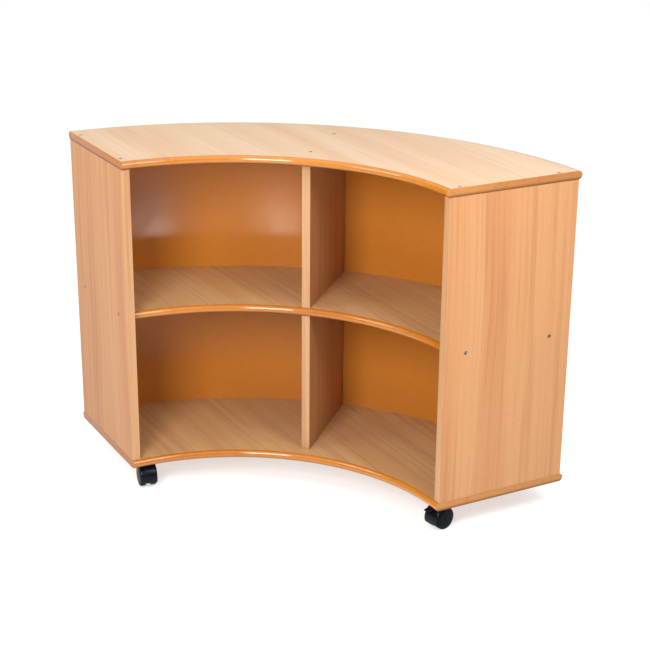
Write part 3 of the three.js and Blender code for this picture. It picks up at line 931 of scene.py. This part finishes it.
def castor_plate(turn):
    """Pressed fixing plate with slightly turned-down rim, a ball race under it, and the pin."""
    low, high = 59.2 * MM, 61.7 * MM
    half, corner = 16 * MM, 5 * MM
    def outline(inset):
        points = []
        for i, (x, y) in enumerate(((1, 1), (-1, 1), (-1, -1), (1, -1))):
            points += arc((x * half, y * half), corner - inset, 90 * i, 90 * (i + 1), 8)
        return points
    levels = [(low, 0.5 * MM), (low + 0.4 * MM, 0.1 * MM), (low + 0.9 * MM, 0), (high - 0.5 * MM, 0),
              (high, 0.4 * MM)]
    body = lofted("plate", [[(x, y, z) for x, y in outline(inset)] for z, inset in levels])
    for x, y in ((1, 1), (-1, 1), (-1, -1), (1, -1)):
        hole = post("hole", 2.5 * MM, 50 * MM, 70 * MM)
        body = carved(body, moved(hole, Matrix.Translation((15 * MM * x, 15 * MM * y, 0))))
    race = in_mm([(10.4, 59.4), (10.4, 57.6), (11.2, 56.9), (13.4, 56.7), (14.9, 57.4), (15.6, 58.6),
                  (16.4, 59.4)])
    body = carved(body, turned("race", race, 64), "UNION")
    body = carved(body, post("pin", PIN_RADIUS, PIN_BOTTOM, 60 * MM), "UNION")
    return smooth(painted(moved(body, Matrix.Rotation(turn, 4, "Z")), finishes["zinc"]), 30)


def castor_axle():
    """Axle with chamfered ends."""
    profile = in_mm([(0, -15), (2.5, -15), (3, -14.4), (3, 14.4), (2.5, 15), (0, 15)])
    axle = turned("axle", profile, 40, finishes["zinc"])
    place = Matrix.Translation((0, AXLE_Y, AXLE_Z)) @ Matrix.Rotation(math.pi / 2, 4, "Y")
    return smooth(moved(axle, place))


def brake_lever():
    """Foot pedal with grip ribs across it, on its pivot barrel."""
    outline = [(-26.6, 54.8), (-26.6, 51.6), (-36, 50.3), (-44, 49.7), (-51, 49.1), (-54.7, 48.9),
               (-55.6, 49.6), (-55.4, 50.4), (-50, 51.9), (-46, 52.9), (-36, 54.0)]
    body = sideways("lever", in_mm(outline), 6.5 * MM)
    body = carved(body, rod("barrel", 2.1 * MM, -7 * MM, 7 * MM, LEVER_Y, LEVER_Z), "UNION")
    body = carved(body, rod("pivot", 1.15 * MM, -9.8 * MM, 9.8 * MM, LEVER_Y, LEVER_Z, 24), "UNION")
    for i in range(5):
        y = (-52.6 + 2.6 * i) * MM
        rib = rod("rib", 0.55 * MM, -5.2 * MM, 5.2 * MM, y, pedal_height(y), 16)
        body = carved(body, rib, "UNION")
    return smooth(painted(rounded(body, 0.3 * MM), finishes["hood"]), 30)


def pedal_height(y):
    """Height of the pedal's upper face, which slopes down to the toe."""
    return 52.9 * MM + (y + 46 * MM) * (52.9 - 51.4) / (52 - 46) - 0.15 * MM


def castor_frame(name):
    """Where a castor stands and how it is turned, from the places of its nodes."""
    def middle(node):
        low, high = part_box(f"castor_{name}_{node}")
        return (low + high) / 2
    pin, axle, screw = middle("plate"), middle("axle"), middle("screw_1")
    heading = math.atan2(axle.x - pin.x, pin.y - axle.y)
    plate_turn = math.atan2(screw.y - pin.y, screw.x - pin.x) - math.pi / 4
    return Vector((pin.x, pin.y, 0)), heading, plate_turn


def make_castor(name):
    pin, heading, plate_turn = castor_frame(name)
    fixed = Matrix.Translation(pin)
    swivel = fixed @ Matrix.Rotation(heading, 4, "Z")
    head = f"castor_{name}"

    def piece(obj, title, matrix, body, slot):
        obj.name = f"{head}_{title}_look"
        finished(moved(obj, matrix), body, slot, f"{head}_{title}")

    piece(castor_plate(plate_turn), "plate", fixed, "carcass", "zinc_plate")
    piece(castor_hood(name in BRAKED), "housing", swivel, f"{head}_swivel", "hood_plastic")
    piece(castor_axle(), "axle", swivel, f"{head}_swivel", "zinc_plate")
    for side, sign in (("a", -1), ("b", 1)):
        piece(castor_wheel(sign), f"wheel_{side}", swivel, f"{head}_wheel_{side}", "wheel_plastic")
    if name in BRAKED:
        piece(brake_lever(), "brake_lever", swivel, f"{head}_lever", "hood_plastic")


def make_plate_screws():
    """All sixteen screws that hold the castor plates, their heads hanging under the plates."""
    places, nodes = [], []
    for name in CASTOR_NAMES:
        for i in range(1, 5):
            node = f"castor_{name}_screw_{i}"
            low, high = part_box(node)
            middle = (low + high) / 2
            places.append((Vector((middle.x, middle.y, low.z + PLATE_HEAD_HEIGHT)), -UP))
            nodes.append(node)
    screws = scattered("plate_screws", places, plate_screw(), PLATE_SCREW_SEED, finishes["zinc"])
    finished(smooth(screws), "carcass", "screw_steel", *nodes)


# ---------------------------------------------------------------- assembly

panel_screws = panel_screw_places()
top_screws = [screw for screw in panel_screws if screw[0].startswith("top")]
side_screws = [screw for screw in panel_screws if screw[0].startswith("shelf")]
# the top takes the laminate tint with painted sheen, and the base takes the one with painted shade
make_ring_board("top", "top_panel", top_low.z, top_high.z, finishes["top_face_with_painted_sheen"], (0, 0, 0.1), top_screws)
make_ring_board("base", "base_panel", base_low.z, base_high.z, finishes["inner_face_with_painted_shade"], (0, 0, 0.7))
make_shelf()
make_back()
make_uprights(side_screws)
make_panel_screws(panel_screws)
make_plate_screws()
for castor_name in CASTOR_NAMES:
    make_castor(castor_name)


# ---------------------------------------------------------------- stage, light and camera

FLOOR_GLOW = 0.56                  # keeps the floor white under the soft light
FLOOR_HALF = 30.0
SKY_OVERHEAD = 1.70
LIGHT_AIM = Vector((0.0, -0.05, 0.4))
# name, azimuth (0 straight in front, positive to the right), elevation, distance, width, height, power
SOFTBOXES = (
    ("front_light", -3, 27, 2.6, 0.8, 1.0, 56.0),
    ("right_light", 58, 43, 2.0, 0.9, 0.7, 22.0),
    ("left_light", -57, 42, 2.0, 0.7, 0.4, 8.0),
)
GLEAM_AIM = Vector((-0.25, 0.15, 0.6))
# name, place, width, height, power
GLEAMS = (
    ("gleam_right", (0.58, -1.03, 0.06), 0.16, 0.08, 1.9),
    ("gleam_middle", (-0.065, -1.295, 0.065), 0.18, 0.08, 1.8),
)


def make_floor():
    finish = Finish("floor_paper", Roughness=0.9, Emission_Color=(1.0, 1.0, 1.0, 1.0),
                    Emission_Strength=FLOOR_GLOW)
    cloud = finish.noise(finish.place(), scale=0.7, detail=2.0)
    tint = finish.mix(cloud, shade(186, 186, 186), shade(190, 190, 190))
    corners = [(x * FLOOR_HALF, y * FLOOR_HALF, 0) for x, y in ((-1, -1), (1, -1), (1, 1), (-1, 1))]
    mesh = bpy.data.meshes.new("floor")
    mesh.from_pydata(corners, [], [(0, 1, 2, 3)])
    mesh.materials.append(finish.paint(Base_Color=tint))
    object_of("floor", mesh)


def area_light(name, place, sight, width, height, power):
    """A rectangular light at a place, facing along its sight."""
    light = bpy.data.lights.new(name, "AREA")
    light.shape, light.size, light.size_y, light.energy = "RECTANGLE", width, height, power
    panel = object_of(name, light)
    panel.location = place
    panel.rotation_euler = sight.to_track_quat("-Z", "Y").to_euler()
    return panel


def make_softbox(name, azimuth, elevation, distance, width, height, power):
    """An area light aimed at the middle of the object."""
    turn, rise = math.radians(azimuth), math.radians(elevation)
    way = Vector((math.sin(turn) * math.cos(rise), -math.cos(turn) * math.cos(rise), math.sin(rise)))
    area_light(name, LIGHT_AIM + way * distance, -way, width, height, power)


def make_gleam(name, place, width, height, power, receivers):
    """A low panel in front that only shows as a soft gleam on the glossy back sheet."""
    panel = area_light(name, place, GLEAM_AIM - Vector(place), width, height, power)
    panel.visible_camera, panel.visible_diffuse = False, False
    panel.light_linking.receiver_collection = receivers


def make_sky():
    """White overhead light that fades out towards the horizon, in front of a white background."""
    world = bpy.data.worlds.new("studio")
    world.use_nodes = True
    tree = Tree(world.node_tree)
    background = world.node_tree.nodes["Background"]
    background.inputs["Strength"].default_value = 1.0
    height = tree.parts(tree.node("ShaderNodeTexCoord", {}, {}, output="Generated"))[2]
    overhead = tree.math("MAXIMUM", height, 0.0)
    level = overhead * overhead * SKY_OVERHEAD
    seen = tree.node("ShaderNodeLightPath", {}, {}, output="Is Camera Ray")
    level = tree.math("MAXIMUM", level, seen)
    tree.feed(background.inputs["Color"], tree.vector(level, level, level))
    bpy.context.scene.world = world


CAMERA_PLACE = (0.922799, -3.034591, 1.526443)
CAMERA_YAW = math.radians(-16.688)    # from +Y, positive towards +X
CAMERA_DROP = math.radians(20.2225)   # below the horizon
CAMERA_ROLL = math.radians(0.343)
CAMERA_LENS = 84.652                  # on a 36 mm sensor
CAMERA_SHIFT = (0.009160, -0.000735)


def make_camera():
    sight = Vector((math.sin(CAMERA_YAW) * math.cos(CAMERA_DROP),
                    math.cos(CAMERA_YAW) * math.cos(CAMERA_DROP), -math.sin(CAMERA_DROP)))
    level = Vector((math.cos(CAMERA_YAW), -math.sin(CAMERA_YAW), 0))
    rise = level.cross(sight)
    cosine, sine = math.cos(CAMERA_ROLL), math.sin(CAMERA_ROLL)
    axes = Matrix((cosine * level + sine * rise, cosine * rise - sine * level, -sight)).transposed()
    lens = bpy.data.cameras.new("camera")
    lens.sensor_width, lens.lens = 36.0, CAMERA_LENS
    lens.shift_x, lens.shift_y = CAMERA_SHIFT
    camera = object_of("camera", lens)
    camera.matrix_world = Matrix.Translation(CAMERA_PLACE) @ axes.to_4x4()
    bpy.context.scene.camera = camera


make_floor()
make_sky()
for softbox in SOFTBOXES:
    make_softbox(*softbox)
shining = bpy.data.collections.new("shining")
shining.objects.link(bpy.data.objects["back_sheet"])
for gleam in GLEAMS:
    make_gleam(*gleam, shining)
make_camera()
bpy.context.scene.view_settings.view_transform = "Standard"
